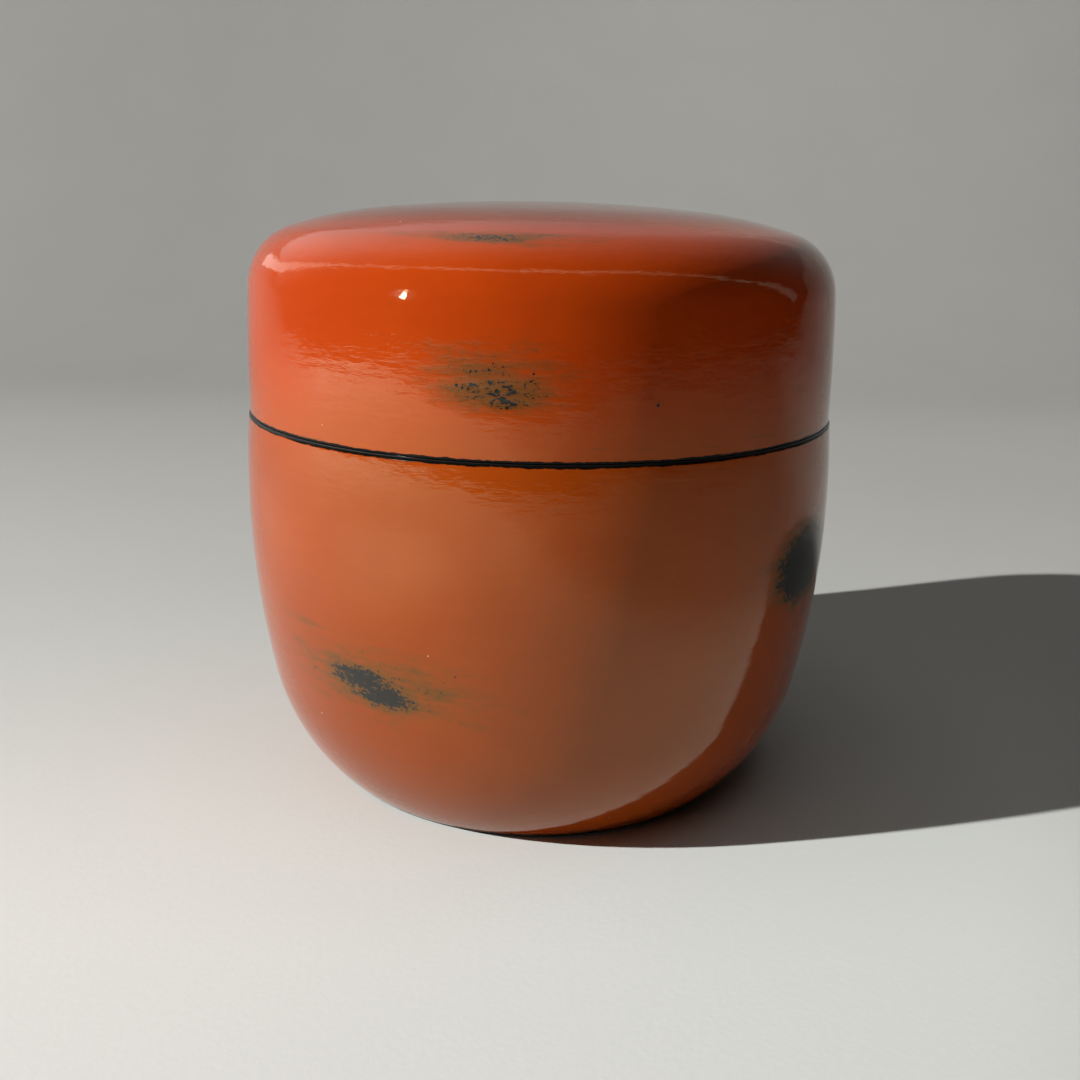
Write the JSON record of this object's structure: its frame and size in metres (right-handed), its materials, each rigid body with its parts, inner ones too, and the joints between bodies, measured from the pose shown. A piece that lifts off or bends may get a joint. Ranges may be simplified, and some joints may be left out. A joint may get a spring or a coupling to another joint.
{
  "type": "tea caddy",
  "caption": "Round lacquered tea caddy with a bowl-shaped body, a standing collar and a lift-off lid with a softly domed top.",
  "frame": {"origin": "centre of the foot, on the surface that the caddy stands on", "axes": "+Z is the turning axis, up through the lid; the shape is the same all round it"},
  "size_m": [0.067, 0.067, 0.0648],
  "materials": {
    "turned_wood": "fine turned, bare under the coats",
    "hemp_cloth": "plain weave, soaked in lacquer",
    "ground_coat": "matt, ground flat",
    "black_lacquer": "gloss black lacquer",
    "red_lacquer": "gloss vermilion lacquer, worn through in places",
    "black_lining": "gloss black lacquer",
    "foot_lacquer": "satin black lacquer"
  },
  "bodies": {
    "body": {"body_core": "turned_wood", "body_mouth_cloth": "hemp_cloth", "body_foot_cloth": "hemp_cloth", "body_ground_coat": "ground_coat", "body_black_coat": "black_lacquer", "body_red_coat": "red_lacquer", "body_lining_coat": "black_lining", "foot_coat": "foot_lacquer"},
    "lid": {"lid_core": "turned_wood", "lid_mouth_cloth": "hemp_cloth", "lid_ground_coat": "ground_coat", "lid_black_coat": "black_lacquer", "lid_red_coat": "red_lacquer", "lid_lining_coat": "black_lining"}
  },
  "joints": [
    {"name": "lid_lift", "type": "slide", "parent": "body", "child": "lid", "axis": [0, 0, 1], "range_m": [0, 0.06]}
  ]
}
